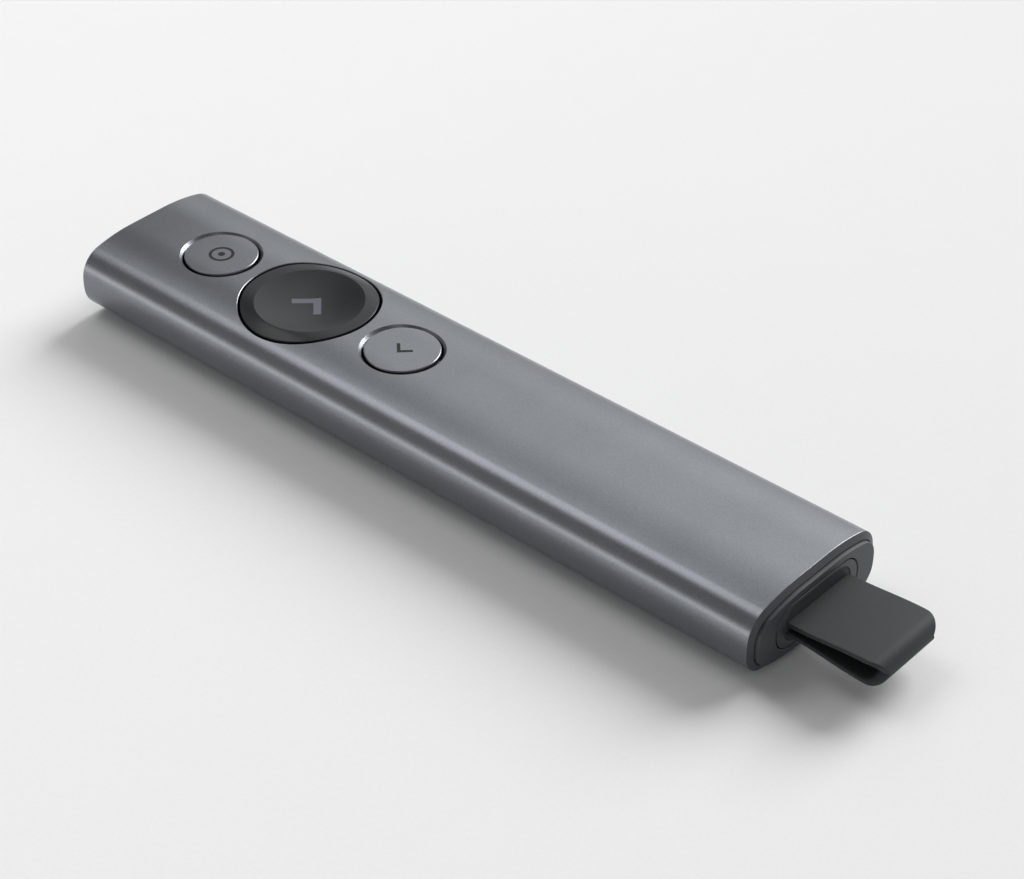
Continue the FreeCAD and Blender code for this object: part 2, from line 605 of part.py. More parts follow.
def make_stem(name, x, travel):
    """Switch stem, which the button's plunger pushes down by the travel."""
    bottom = BOARD_TOP + SWITCH_FLOOR + travel + RUNNING_GAP
    save(name + "_switch_stem", rod(STEM_RADIUS, x, 0.0, bottom, STEM_TOP))


def cap_blank(x, radius, depth):
    """Button cap before its signs: a head flush with the sleeve, two lips at its ends and a plunger.

    The head's top is part of the body's own crown. The lips reach under the sleeve's flat wall in
    front of the cap and behind it, and keep the cap from coming out.
    """
    reach = radius + CAP_LIP
    underside = BODY_HEIGHT - depth
    lip_top = BODY_HEIGHT - INNER_INSET
    column = rod(radius, x, 0.0, underside, BODY_HEIGHT + 1)
    head = body_prism(0.0, x - reach, x + reach).common(column)
    lips = box((x - reach, x + reach), (-CAP_LIP_HALF_WIDTH, CAP_LIP_HALF_WIDTH),
               (lip_top - CAP_LIP_THICKNESS, lip_top))
    plunger = rod(PLUNGER_RADIUS, x, 0.0, STEM_TOP, underside)
    return head.fuse([lips, plunger]).removeSplitter()


def make_pointer_button():
    """Round cap with a ring and a dot let into it."""
    cap = cap_blank(POINTER_BUTTON_X, ROUND_CAP_RADIUS, ROUND_CAP_DEPTH)
    floor = BODY_HEIGHT - SIGN_DEPTH
    ring = rod(RING_OUTER_RADIUS, POINTER_BUTTON_X, 0.0, floor, BODY_HEIGHT)
    ring = ring.cut(rod(RING_INNER_RADIUS, POINTER_BUTTON_X, 0.0, floor, BODY_HEIGHT))
    dot = rod(DOT_RADIUS, POINTER_BUTTON_X, 0.0, floor, BODY_HEIGHT)
    save("pointer_button_cap", cap.cut([ring, dot]))
    save("pointer_sign", ring, dot)


def make_back_button():
    """Round cap with a small arrow let into it."""
    cap = cap_blank(BACK_BUTTON_X, ROUND_CAP_RADIUS, ROUND_CAP_DEPTH)
    arrow = chevron(BACK_BUTTON_X, BACK_APEX_Y, BACK_ARM, BACK_STROKE, BODY_HEIGHT - SIGN_DEPTH, BODY_HEIGHT)
    save("back_button_cap", cap.cut(arrow))
    save("back_sign", arrow)


def make_next_button():
    """Large cap with a shallow dish and an arrow let into the dish."""
    cap = cap_blank(NEXT_BUTTON_X, NEXT_CAP_RADIUS, NEXT_CAP_DEPTH)
    dish_sphere = (DISH_RADIUS ** 2 + DISH_DEPTH ** 2) / (2 * DISH_DEPTH)
    dish_bottom = BODY_HEIGHT - DISH_DEPTH
    dish = Part.makeSphere(dish_sphere, Vector(NEXT_BUTTON_X, 0.0, dish_bottom + dish_sphere), ALONG_X)
    arrow = chevron(NEXT_BUTTON_X, NEXT_APEX_Y, NEXT_ARM, NEXT_STROKE, dish_bottom - SIGN_DEPTH, BODY_HEIGHT)
    arrow = arrow.cut(dish)
    save("next_button_cap", cap.cut(dish).cut(arrow))
    save("next_sign", arrow)


def make_receiver_housing():
    """Moulded body of the receiver, bored for the plug and recessed for the strap."""
    rear = PLATE_FACE_X - RECEIVER_LENGTH
    housing = slot_prism(RECEIVER_WIDTH, RECEIVER_HEIGHT, RECEIVER_CORNER, rear, PLATE_FACE_X)
    housing = housing.cut(slot_prism(RECESS_WIDTH, RECESS_HEIGHT, RECESS_CORNER,
                                     PLATE_FACE_X - RECESS_DEPTH, PLATE_FACE_X + 1))
    bore = slot_prism(PLUG_WIDTH, PLUG_HEIGHT, PLUG_CORNER, rear - 1, rear + PLUG_ROOT)
    save("receiver_housing", housing.cut(bore))


def make_receiver_plug():
    """Plug shell folded from sheet, its plastic tongue, four contacts, the board and its chip."""
    rear = PLATE_FACE_X - RECEIVER_LENGTH
    tip = rear - PLUG_LENGTH
    root = rear + PLUG_ROOT
    inner_width = PLUG_WIDTH - 2 * PLUG_WALL
    inner_height = PLUG_HEIGHT - 2 * PLUG_WALL
    shell = slot_prism(PLUG_WIDTH, PLUG_HEIGHT, PLUG_CORNER, tip, root)
    shell = shell.cut(slot_prism(inner_width, inner_height, PLUG_CORNER - PLUG_WALL, tip - 1, root + 1))
    half = PLUG_WINDOW / 2
    window_x = tip + PLUG_WINDOW_FROM_TIP
    for side in (-1, 1):
        y = side * PLUG_WINDOW_SPACING / 2
        shell = shell.cut(box((window_x - half, window_x + half), (y - half, y + half), (0.0, BODY_HEIGHT)))
    save("receiver_plug_shell", shell)
    floor = MID_Z - inner_height / 2
    half_tongue = inner_width / 2 - PLUG_CORNER
    tongue_top = floor + TONGUE_THICKNESS
    tongue_start = tip + PLUG_WALL
    tongue = box((tongue_start, tongue_start + TONGUE_LENGTH), (-half_tongue, half_tongue), (floor, tongue_top))
    save("receiver_tongue", tongue)
    contacts = []
    for place in (-1.5, -0.5, 0.5, 1.5):
        y = place * CONTACT_PITCH
        start = tip + CONTACT_FROM_TIP
        contacts.append(box((start, start + CONTACT_LENGTH), (y - CONTACT_WIDTH / 2, y + CONTACT_WIDTH / 2),
                            (tongue_top, tongue_top + CONTACT_THICKNESS)))
    save("receiver_contacts", *contacts)
    board_start = tip + PLUG_WALL + TONGUE_LENGTH
    board_end = min(board_start + RECEIVER_BOARD_LENGTH, root)
    board_top = floor + RECEIVER_BOARD_THICKNESS
    save("receiver_board", box((board_start, board_end), (-half_tongue, half_tongue), (floor, board_top)))
    chip_x = (board_start + board_end) / 2
    half_chip = RECEIVER_CHIP_SIZE / 2
    save("receiver_chip", box((chip_x - half_chip, chip_x + half_chip), (-half_chip, half_chip),
                              (board_top, board_top + RECEIVER_CHIP_HEIGHT)))


def loop_face(start_x, end_x, root_half, tip_radius):
    """Side view of a fold: two very flat arcs that open from the root into a half-round tip."""
    centre_x = end_x - tip_radius
    rise = tip_radius - root_half
    run = centre_x - start_x
    arc_radius = (run ** 2 + rise ** 2) / (2 * rise)
    middle_x = start_x + run / 2
    middle_half = tip_radius - arc_radius + math.sqrt(arc_radius ** 2 - (run / 2) ** 2)

    def place(x, half):
        return Vector(x, 0.0, MID_Z + half)

    upper = Part.Arc(place(start_x, root_half), place(middle_x, middle_half), place(centre_x, tip_radius))
    tip = Part.Arc(place(centre_x, tip_radius), place(end_x, 0.0), place(centre_x, -tip_radius))
    lower = Part.Arc(place(centre_x, -tip_radius), place(middle_x, -middle_half), place(start_x, -root_half))
    back = Part.makeLine(place(start_x, -root_half), place(start_x, root_half))
    return Part.Face(Part.Wire([upper.toShape(), tip.toShape(), lower.toShape(), back]))


def eight_sided(width, height, cut, x):
    """Corners of a rectangle across the length with its corners cut off at 45 degrees."""
    half_width = width / 2
    half_height = height / 2
    quarter = [(half_width, half_height - cut), (half_width - cut, half_height)]
    outline = quarter + [(-y, z) for y, z in reversed(quarter)]
    outline = outline + [(-y, -z) for y, z in outline]
    return [Vector(x, y, MID_Z + z) for y, z in outline]


def flat_sided_block(start, end):
    """Solid between two outlines across the length whose matching sides are parallel."""
    faces = [Part.Face(Part.makePolygon(outline + outline[:1])) for outline in (start, end)]
    for index in range(len(start)):
        corners = [start[index - 1], start[index], end[index], end[index - 1], start[index - 1]]
        faces.append(Part.Face(Part.makePolygon(corners)))
    return Part.makeSolid(Part.makeShell(faces))


def make_strap():
    """Rubber band folded over at its outer end, moulded on to a collar in the receiver's face."""
    recess_floor = PLATE_FACE_X - RECESS_DEPTH
    collar_top = PLATE_FACE_X - STRAP_COLLAR_SINK
    collar_width = RECESS_WIDTH - 2 * GLUE_GAP
    collar_height = RECESS_HEIGHT - 2 * GLUE_GAP
    collar = slot_prism(collar_width, collar_height, RECESS_CORNER, recess_floor, collar_top)
    rise_end = collar_top + STRAP_COLLAR_RISE
    slope = flat_sided_block(eight_sided(collar_width, collar_height, RECESS_CORNER, collar_top),
                             eight_sided(STRAP_WIDTH, STRAP_ROOT_HEIGHT, STRAP_ROOT_HEIGHT / 4, rise_end))
    end_x = PLATE_FACE_X + STRAP_REACH
    band = loop_face(collar_top, end_x, STRAP_ROOT_HEIGHT / 2, STRAP_TIP_RADIUS)
    band = band.extrude(ALONG_Y * STRAP_WIDTH)
    band.translate(Vector(0, -STRAP_WIDTH / 2, 0))
    strap = collar.fuse([slope, band]).removeSplitter()
    opening = loop_face(rise_end, end_x - STRAP_TIP_WALL, STRAP_GAP_ROOT_HEIGHT / 2, STRAP_GAP_TIP_RADIUS)
    opening = opening.extrude(ALONG_Y * (STRAP_WIDTH + 2))
    opening.translate(Vector(0, -STRAP_WIDTH / 2 - 1, 0))
    save("receiver_strap", strap.cut(opening))


os.makedirs("parts", exist_ok=True)
make_sleeve()
make_front_cap()
make_end_ring()
make_end_cap()
make_end_screws()
make_lower_carrier()
make_upper_frame()
make_frame_screws()
make_board()
make_board_parts()
make_battery()
make_motor()
make_port()
for button, centre, depth in (("pointer", POINTER_BUTTON_X, ROUND_TRAVEL), ("next", NEXT_BUTTON_X, NEXT_TRAVEL),
                              ("back", BACK_BUTTON_X, ROUND_TRAVEL)):
    make_switch(button, centre)
    make_stem(button, centre, depth)
make_pointer_button()
make_next_button()
make_back_button()
make_receiver_housing()
make_receiver_plug()
make_strap()
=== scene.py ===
import math

import bmesh
import bpy
import numpy as np
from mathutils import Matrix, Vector


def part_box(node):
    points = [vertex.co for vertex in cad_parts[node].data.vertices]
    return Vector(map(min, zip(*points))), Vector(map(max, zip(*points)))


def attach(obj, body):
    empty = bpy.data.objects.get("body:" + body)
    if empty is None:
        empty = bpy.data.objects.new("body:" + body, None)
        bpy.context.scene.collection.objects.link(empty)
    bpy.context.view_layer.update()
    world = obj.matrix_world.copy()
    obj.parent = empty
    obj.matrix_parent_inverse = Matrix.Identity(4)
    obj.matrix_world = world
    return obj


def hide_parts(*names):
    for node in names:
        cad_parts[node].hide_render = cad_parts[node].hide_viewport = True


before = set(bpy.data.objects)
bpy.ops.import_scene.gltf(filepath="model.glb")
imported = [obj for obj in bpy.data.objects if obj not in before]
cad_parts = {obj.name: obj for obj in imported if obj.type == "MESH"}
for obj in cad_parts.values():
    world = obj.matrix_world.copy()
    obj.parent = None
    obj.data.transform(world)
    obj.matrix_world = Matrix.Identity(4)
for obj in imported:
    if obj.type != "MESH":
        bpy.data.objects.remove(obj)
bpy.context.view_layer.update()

# Housing sleeve: an extruded aluminium tube of flattened oval section, cut to length.
# Three button holes are milled through its top and a pin hole through its underside, and then
# the tube is bead-blasted and anodised slate grey.
MM = 0.001


def cad_box(node):
    """Low and high corners of a CAD node's box, in millimetres."""
    return [np.array(corner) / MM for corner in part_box(node)]


def middle_x(node):
    """Place along the body of the middle of a CAD node, in millimetres."""
    low, high = cad_box(node)
    return (low[0] + high[0]) / 2


sleeve_low, sleeve_high = cad_box("housing_sleeve")
FRONT_X, REAR_X = sleeve_low[0], sleeve_high[0]
BODY_WIDTH = sleeve_high[1] - sleeve_low[1]
BODY_HEIGHT = sleeve_high[2]
MID_Z = BODY_HEIGHT / 2
SLEEVE_WALL = 1.0
SLEEVE_EDGE = 0.08

# The outline's quarter is half a flat, a shallow crown, a shoulder and a blunt nose. The
# shoulder's radius and the flat are what the body's height and width leave for them.
CROWN_RADIUS, CROWN_TURN = 30.0, math.radians(14)
NOSE_RADIUS, NOSE_TURN = 12.0, math.radians(6)
SHOULDER_TURN = math.pi / 2 - CROWN_TURN - NOSE_TURN
shoulder_radius = MID_Z - CROWN_RADIUS * (1 - math.cos(CROWN_TURN)) - NOSE_RADIUS * math.sin(NOSE_TURN)
shoulder_radius /= math.cos(CROWN_TURN) - math.sin(NOSE_TURN)
body_flat = BODY_WIDTH / 2 - CROWN_RADIUS * math.sin(CROWN_TURN) - NOSE_RADIUS * (1 - math.cos(NOSE_TURN))
body_flat -= shoulder_radius * (math.cos(NOSE_TURN) - math.sin(CROWN_TURN))
BODY_ARCS = ((CROWN_RADIUS, CROWN_TURN), (shoulder_radius, SHOULDER_TURN), (NOSE_RADIUS, NOSE_TURN))
OUTLINE_LENGTH = 4 * (body_flat + sum(radius * turn for radius, turn in BODY_ARCS))


def section(share, flat, arcs, side=0.0, inset=0.0):
    """Points of a closed section that is the same in all four quarters, as arrays y and z.

    The share runs from 0 at the top centre through the far side. A quarter is half a flat, then
    tangent arcs given as (radius, turn), then half an upright side. An arc that turns from a to b
    adds radius * (sin b - sin a) across and radius * (cos a - cos b) down. The other quarters
    are mirrored from it, and an inset moves each point inwards along its normal.
    """
    quarter = flat + side + sum(radius * turn for radius, turn in arcs)
    wrapped = (share + 0.5) % 1.0 - 0.5
    along = quarter * (1.0 - np.abs(np.abs(wrapped) * 4 - 1.0))
    y = np.minimum(along, flat)
    drop = np.zeros_like(y)
    turned = np.zeros_like(y)
    start = flat
    half_height = side
    whole_turn = 0.0
    for radius, turn in arcs:
        part = np.clip((along - start) / radius, 0.0, turn)
        y = y + radius * (np.sin(turned + part) - np.sin(turned))
        drop = drop + radius * (np.cos(turned) - np.cos(turned + part))
        half_height += radius * (math.cos(whole_turn) - math.cos(whole_turn + turn))
        turned = turned + part
        whole_turn += turn
        start += radius * turn
    drop = drop + np.maximum(along - start, 0.0)
    y = y - inset * np.sin(turned)
    z = half_height - drop - inset * np.cos(turned)
    return np.sign(wrapped) * y, np.where(np.abs(wrapped) > 0.25, -z, z)


def body_section(share, inset=0.0):
    """Points of the sleeve's outline at an inset from its outside, as arrays y and z."""
    y, z = section(share, body_flat, BODY_ARCS, 0.0, inset)
    return y, MID_Z + z


def body_points(places, inset):
    """Points of the outline at an inset, for rows of a place along the body and a share."""
    y, z = body_section(places[:, 1], inset)
    return np.stack([places[:, 0], y, z], axis=1)


def top_share(y, inset=0.0):
    """Share at which the upper half of the outline is y from the middle, read off a fine table."""
    shares = np.linspace(-0.25, 0.25, 4001)
    return np.interp(y, body_section(shares, inset)[0], shares)


def top_height(y, inset=0.0):
    """Height of the upper half of the outline at y from the middle."""
    return body_section(top_share(y, inset), inset)[1]


# The grid runs along the tube in five spans, given by their ends and their cells, and a block of
# its cells is opened for each hole. The pin hole's block starts a cell before the one that holds
# its centre. The round holes have a bevel of 45 degrees down to a level circle, and the next
# button's hole an even narrow edge.
AROUND = 144
POINTER_X, NEXT_X, BACK_X = (middle_x(node) for node in
                             ("pointer_button_cap", "next_button_cap", "back_button_cap"))
PIN_X = middle_x("status_light_pipe")
ROUND_HOLE, ROUND_HOLE_BEVEL = 6.05, 0.47
NEXT_HOLE, NEXT_HOLE_EDGE = 10.92, 0.1
PIN_HOLE = 0.58
HALF_NEXT_BLOCK = 11.75
HALF_ROUND_BLOCK = NEXT_X - POINTER_X - HALF_NEXT_BLOCK
TOP_BLOCK_STEPS, PIN_BLOCK_STEPS, PIN_BLOCK_CELLS = 27, 3, 3
RINGS, RING_SPREAD = 12, 1.3
spans = ((FRONT_X + SLEEVE_EDGE, POINTER_X - HALF_ROUND_BLOCK, 14),
         (POINTER_X - HALF_ROUND_BLOCK, POINTER_X + HALF_ROUND_BLOCK, 16),
         (NEXT_X - HALF_NEXT_BLOCK, NEXT_X + HALF_NEXT_BLOCK, 24),
         (BACK_X - HALF_ROUND_BLOCK, BACK_X + HALF_ROUND_BLOCK, 16),
         (BACK_X + HALF_ROUND_BLOCK, REAR_X - SLEEVE_EDGE, 50))
stations = np.concatenate([np.linspace(low, high, cells, endpoint=False) for low, high, cells in spans]
                          + [[REAR_X - SLEEVE_EDGE]])
first_cells = np.cumsum([0] + [cells for _, _, cells in spans])
pin_cell = int(np.searchsorted(stations, PIN_X)) - 2
top_block = (-TOP_BLOCK_STEPS, TOP_BLOCK_STEPS)
pin_block = (AROUND // 2 - PIN_BLOCK_STEPS, AROUND // 2 + PIN_BLOCK_STEPS)
holes = [(POINTER_X, ROUND_HOLE, first_cells[1], first_cells[2], *top_block),
         (NEXT_X, NEXT_HOLE, first_cells[2], first_cells[3], *top_block),
         (BACK_X, ROUND_HOLE, first_cells[3], first_cells[4], *top_block),
         (PIN_X, PIN_HOLE, pin_cell, pin_cell + PIN_BLOCK_CELLS, *pin_block)]


def mouth_reach(radius, angle):
    """Radius of a hole's mouth in the sleeve's outside, at each angle round the hole.

    A bevel of 45 degrees reaches out by as much as the crown stands above its level circle. The
    crown's height is taken at the last answer, and six rounds settle it.
    """
    reach = np.full_like(angle, radius)
    if radius == NEXT_HOLE:
        reach += NEXT_HOLE_EDGE
    elif radius == ROUND_HOLE:
        for _ in range(6):
            crown_z = top_height(reach * np.sin(angle))
            reach = radius + np.maximum(crown_z - BODY_HEIGHT + ROUND_HOLE_BEVEL, 0.0)
    return reach


def ribbon(here, there):
    """Quads between two closed rows of point numbers."""
    return np.stack([here, np.roll(here, -1), np.roll(there, -1), there], axis=1)


def holed_surface(inset):
    """The tube's surface at an inset: a grid of stations by shares, opened round each hole.

    Each hole's block of cells gives way to rings between the block's border and the rim. Every
    ring point is a straight blend, by station and share, of a border point and the rim point at
    its angle, so it lies on the outline. Returns each point's station and share, the faces, and
    each rim's point numbers and angles.
    """
    station, step = np.meshgrid(stations, np.arange(AROUND), indexing="ij")
    places = [np.stack([station.ravel(), step.ravel() / AROUND], axis=1)]
    kept = np.ones((len(stations) - 1, AROUND), bool)
    faces = []
    rims = []
    count = len(stations) * AROUND
    for centre, radius, low, high, left, right in holes:
        kept[low:high, np.arange(left, right) % AROUND] = False
        along = np.concatenate([np.arange(low, high), np.full(right - left, high),
                                np.arange(high, low, -1), np.full(right - left, low)])
        across = np.concatenate([np.full(high - low, left), np.arange(left, right),
                                 np.full(high - low, right), np.arange(right, left, -1)])
        middle = (left + right) / 2 / AROUND
        border = np.stack([stations[along], across / AROUND], axis=1)
        angle = np.arctan2((border[:, 1] - middle) * OUTLINE_LENGTH, border[:, 0] - centre)
        reach = mouth_reach(radius, angle) if inset == 0.0 else np.full_like(angle, radius)
        rim_y = reach * np.sin(angle)
        rim_share = top_share(rim_y, inset) if middle == 0.0 else middle + rim_y / OUTLINE_LENGTH
        rim = np.stack([centre + reach * np.cos(angle), rim_share], axis=1)
        ring_numbers = [along * AROUND + across % AROUND]
        for ring in range(1, RINGS + 1):
            places.append(border + (rim - border) * (ring / RINGS) ** RING_SPREAD)
            ring_numbers.append(count + np.arange(len(along)))
            count += len(along)
        faces += [ribbon(outer, inner) for outer, inner in zip(ring_numbers, ring_numbers[1:])]
        rims.append((ring_numbers[-1], angle))
    cell, step = np.nonzero(kept)
    corner = cell * AROUND + step
    beside = cell * AROUND + (step + 1) % AROUND
    faces.append(np.stack([corner, beside, beside + AROUND, corner + AROUND], axis=1))
    return np.concatenate(places), faces, rims


outer_places, outer_faces, outer_rims = holed_surface(0.0)
inner_places, inner_faces, inner_rims = holed_surface(SLEEVE_WALL)
outside = body_points(outer_places, 0.0)
inside = body_points(inner_places, SLEEVE_WALL)
sleeve_points = [outside, inside]
sleeve_faces = outer_faces + [face + len(outside) for face in inner_faces]
total = len(outside) + len(inside)

# A hole's wall goes from its mouth to the foot of its bevel or edge, and then straight on inside.
# The pin hole has neither and goes straight in. It lies underneath, where the share runs towards
# the near side, so its y is turned round.
for (centre, radius, *_), (outer_rim, angle), (inner_rim, _) in zip(holes, outer_rims, inner_rims):
    mouth_z = outside[outer_rim, 2]
    side, step_z = 1, mouth_z - NEXT_HOLE_EDGE
    if radius == ROUND_HOLE:
        step_z = np.full_like(mouth_z, BODY_HEIGHT - ROUND_HOLE_BEVEL)
    elif radius == PIN_HOLE:
        side, step_z = -1, mouth_z + SLEEVE_EDGE
    step_points = [centre + radius * np.cos(angle), side * radius * np.sin(angle), step_z]
    sleeve_points.append(np.stack(step_points, axis=1))
    step_rim = total + np.arange(len(outer_rim))
    total += len(outer_rim)
    sleeve_faces += [ribbon(outer_rim, step_rim), ribbon(step_rim, inner_rim + len(outside))]

# Each end is rounded over by a quarter circle and goes straight across the wall.
steps = np.arange(AROUND)
edge_turns = np.radians((22.5, 45, 67.5, 90))
for first, end_x, way in ((0, FRONT_X, -1), ((len(stations) - 1) * AROUND, REAR_X, 1)):
    chain = [first + steps]
    edge_places = [(end_x + way * SLEEVE_EDGE * (math.sin(turn) - 1), SLEEVE_EDGE * (1 - math.cos(turn)))
                   for turn in edge_turns]
    for x, inset in edge_places + [(end_x, SLEEVE_WALL)]:
        sleeve_points.append(body_points(np.stack([np.full(AROUND, x), steps / AROUND], axis=1), inset))
        chain.append(total + steps)
        total += AROUND
    chain.append(first + steps + len(outside))
    sleeve_faces += [ribbon(here, there) for here, there in zip(chain, chain[1:])]


def make_piece(name, points, faces, material, body, slot, nodes, edge=0.0, sharp=30):
    """Piece on a body, in place of CAD nodes, from points in millimetres and face index arrays.

    Doubled points are merged and the faces turned outwards. Edges sharper than the given angle
    stay crisp, or are rounded where an edge width is given.
    """
    mesh = bpy.data.meshes.new(name)
    face_rows = [row for group in faces for row in group.tolist()]
    mesh.from_pydata((np.asarray(points) * MM).tolist(), [], face_rows)
    shell = bmesh.new()
    shell.from_mesh(mesh)
    bmesh.ops.remove_doubles(shell, verts=shell.verts, dist=1e-7)
    bmesh.ops.recalc_face_normals(shell, faces=shell.faces)
    shell.to_mesh(mesh)
    shell.free()
    mesh.shade_smooth()
    mesh.set_sharp_from_angle(angle=math.radians(sharp))
    mesh.materials.append(material)
    piece = bpy.data.objects.new(name, mesh)
    bpy.context.scene.collection.objects.link(piece)
    if edge:
        rounding = piece.modifiers.new("edge rounding", "BEVEL")
        rounding.width = edge * MM
        rounding.segments = 2
        rounding.limit_method = "ANGLE"
        rounding.angle_limit = math.radians(sharp)
        rounding.harden_normals = True
    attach(piece, body)
    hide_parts(*nodes)
    return piece


def colour(code):
    """Linear colour of an sRGB hex code: each channel c becomes ((c + 0.055) / 1.055) ** 2.4."""
    channels = np.array([int(code[place:place + 2], 16) / 255 for place in (1, 3, 5)])
    linear = np.where(channels < 0.04045, channels / 12.92, ((channels + 0.055) / 1.055) ** 2.4)
    return (*linear.tolist(), 1.0)


def add_node(tree, kind, settings, inputs):
    """Add a node; each input is a plain value, or the output socket that feeds it."""
    node = tree.nodes.new(kind)
    for name, value in settings.items():
        setattr(node, name, value)
    for name, value in inputs.items():
        if isinstance(value, bpy.types.NodeSocket):
            tree.links.new(value, node.inputs[name])
        else:
            node.inputs[name].default_value = value
    return node


# Every finish is a little uneven, in patches about 9 mm across. The weighted sum of the noises
# keeps mostly within the ramp's ends, about its mean of one half.
PATCH_SIZE = 9.0
GRAIN_WEIGHT, PATCH_WEIGHT = 0.8, 0.2
RAMP_ENDS = (0.36, 0.64)


def surface(name, dark, light, roughness, grain, depth, swing=0.06, **sockets):
    """Material with a fine grain and broad uneven patches, both of noise on object coordinates.

    The grain's size and depth are in millimetres. The colour goes from dark to light with the
    weighted sum of the grain and the patches, and the grain swings the roughness about its
    middle value. Further names are sockets of the shader that get a plain value.
    """
    material = bpy.data.materials.new(name)
    material.use_nodes = True
    tree = material.node_tree
    shader = tree.nodes["Principled BSDF"]
    place = add_node(tree, "ShaderNodeTexCoord", {}, {}).outputs["Object"]
    fine, broad = (add_node(tree, "ShaderNodeTexNoise", {},
                            {"Vector": place, "Scale": 1 / (size * MM), "Detail": detail}).outputs[0]
                   for size, detail in ((grain, 2.0), (PATCH_SIZE, 3.0)))
    faint = add_node(tree, "ShaderNodeMath", {"operation": "MULTIPLY"}, {0: broad, 1: PATCH_WEIGHT})
    blend = add_node(tree, "ShaderNodeMath", {"operation": "MULTIPLY_ADD"},
                     {0: fine, 1: GRAIN_WEIGHT, 2: faint.outputs[0]})
    ramp = add_node(tree, "ShaderNodeValToRGB", {}, {0: blend.outputs[0]})
    for end, (position, code) in enumerate(zip(RAMP_ENDS, (dark, light))):
        ramp.color_ramp.elements[end].position = position
        ramp.color_ramp.elements[end].color = colour(code)
    uneven = add_node(tree, "ShaderNodeMapRange", {},
                      {"Value": fine, "To Min": roughness - swing, "To Max": roughness + swing})
    bump = add_node(tree, "ShaderNodeBump", {}, {"Height": fine, "Distance": depth * MM})
    for source, socket in ((ramp, "Base Color"), (uneven, "Roughness"), (bump, "Normal")):
        tree.links.new(source.outputs[0], shader.inputs[socket])
    for socket, value in sockets.items():
        shader.inputs[socket.replace("_", " ")].default_value = value
    return material


# Anodised aluminium, bead-blasted: a satin metal whose blast pits, about 0.05 mm across, scatter
# its reflections. They are drawn 0.18 mm across so that they show.
anodised = surface("anodised aluminium, bead-blasted", "#767A7E", "#84878C", roughness=0.32, grain=0.18,
                   depth=0.008, swing=0.03, Metallic=1.0)
sleeve = make_piece("sleeve", np.concatenate(sleeve_points), sleeve_faces, anodised, "handset",
                    "sleeve_metal", ["housing_sleeve"])

# The outer skin is shaded with the section's own normals, so that its grid doesn't show. A zero
# leaves the other faces as they are.
skin_normals = outside - body_points(outer_places, 1.0)
corner_vertex = np.empty(len(sleeve.data.loops), int)
sleeve.data.loops.foreach_get("vertex_index", corner_vertex)
face_sizes = np.empty(len(sleeve.data.polygons), int)
sleeve.data.polygons.foreach_get("loop_total", face_sizes)
is_skin = np.minimum.reduceat(corner_vertex < len(outside), np.cumsum(face_sizes) - face_sizes)
on_skin = np.repeat(is_skin, face_sizes)
corner_normals = np.zeros((len(corner_vertex), 3))
corner_normals[on_skin] = skin_normals[corner_vertex[on_skin]]
sleeve.data.normals_split_custom_set(corner_normals.tolist())

# Front cap: a moulded plug, flush with the front of the tube, whose skirt grips inside it.
# Glass-filled nylon from a spark-eroded mould, with a dull sheen and a faint even grain. The
# grain, about 0.1 mm apart, is drawn 0.16 mm apart so that it shows.
FIT_GAP = 0.06
FRONT_CAP_DEPTH, FRONT_CAP_WALL = 3.0, 1.2
LOOP_POINTS = 192
loop_shares = np.arange(LOOP_POINTS) / LOOP_POINTS
bore_inset = SLEEVE_WALL + FIT_GAP
hollow_inset = bore_inset + FRONT_CAP_WALL
skirt_x = FRONT_X + FRONT_CAP_DEPTH
end_plastic = surface("moulded nylon, spark-eroded grain", "#32373A", "#3A3F42", roughness=0.5, grain=0.16,
                      depth=0.006, IOR=1.53)


def body_loop(inset, x):
    """Closed loop of points along the body's outline, drawn in by an inset, at x."""
    return body_points(np.stack([np.full(LOOP_POINTS, x), loop_shares], axis=1), inset)


def skin(loops, joined=False):
    """Points and faces between loops of equal count, each loop joined to the next by quads.

    The last loop is joined to the first, or else each end is closed by a fan to its centre.
    """
    count = len(loops[0])
    steps = np.arange(count)
    points = list(loops)
    pairs = len(loops) if joined else len(loops) - 1
    faces = [ribbon(number * count + steps, (number + 1) % len(loops) * count + steps)
             for number in range(pairs)]
    if not joined:
        for fan, number in enumerate((0, len(loops) - 1)):
            points.append(loops[number].mean(axis=0, keepdims=True))
            rim = number * count + steps
            centre = np.full(count, len(loops) * count + fan)
            faces.append(np.stack([rim, np.roll(rim, -1), centre], axis=1))
    return np.concatenate(points), faces


plug_loops = [body_loop(bore_inset + SLEEVE_EDGE, FRONT_X), body_loop(bore_inset, FRONT_X + SLEEVE_EDGE),
              body_loop(bore_inset, skirt_x), body_loop(hollow_inset, skirt_x),
              body_loop(hollow_inset, FRONT_X + FRONT_CAP_WALL)]
make_piece("front_plug", *skin(plug_loops), end_plastic, "handset", "end_plastic", ["front_cap"], edge=0.04)

# Carrier tray, upper frame and the switches: moulded in plain black ABS, with the dull grain
# that the mould leaves, about 0.3 mm apart. The frame is screwed down over the board.
carrier_abs = surface("moulded ABS, black", "#1E1F20", "#262728", roughness=0.5, grain=0.3, depth=0.008,
                      IOR=1.54)


def finish_nodes(material, *nodes):
    """Give CAD nodes their material, in every slot that they have."""
    for node in nodes:
        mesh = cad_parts[node].data
        if not mesh.materials:
            mesh.materials.append(material)
        for place in range(len(mesh.materials)):
            mesh.materials[place] = material


finish_nodes(carrier_abs, "lower_carrier", "upper_frame", "pointer_switch", "next_switch", "back_switch",
             "pointer_switch_stem", "next_switch_stem", "back_switch_stem")

# Screws: steel, cold-headed and zinc-plated. Two hold the end ring on the carrier and four the
# frame. Tumbling leaves them dull, with dints about 0.08 mm across.
screw_steel = surface("zinc-plated steel, tumbled", "#8E9093", "#A8AAAD", roughness=0.34, grain=0.08,
                      depth=0.002, Metallic=1.0)
finish_nodes(screw_steel, "end_screws", "frame_screws")

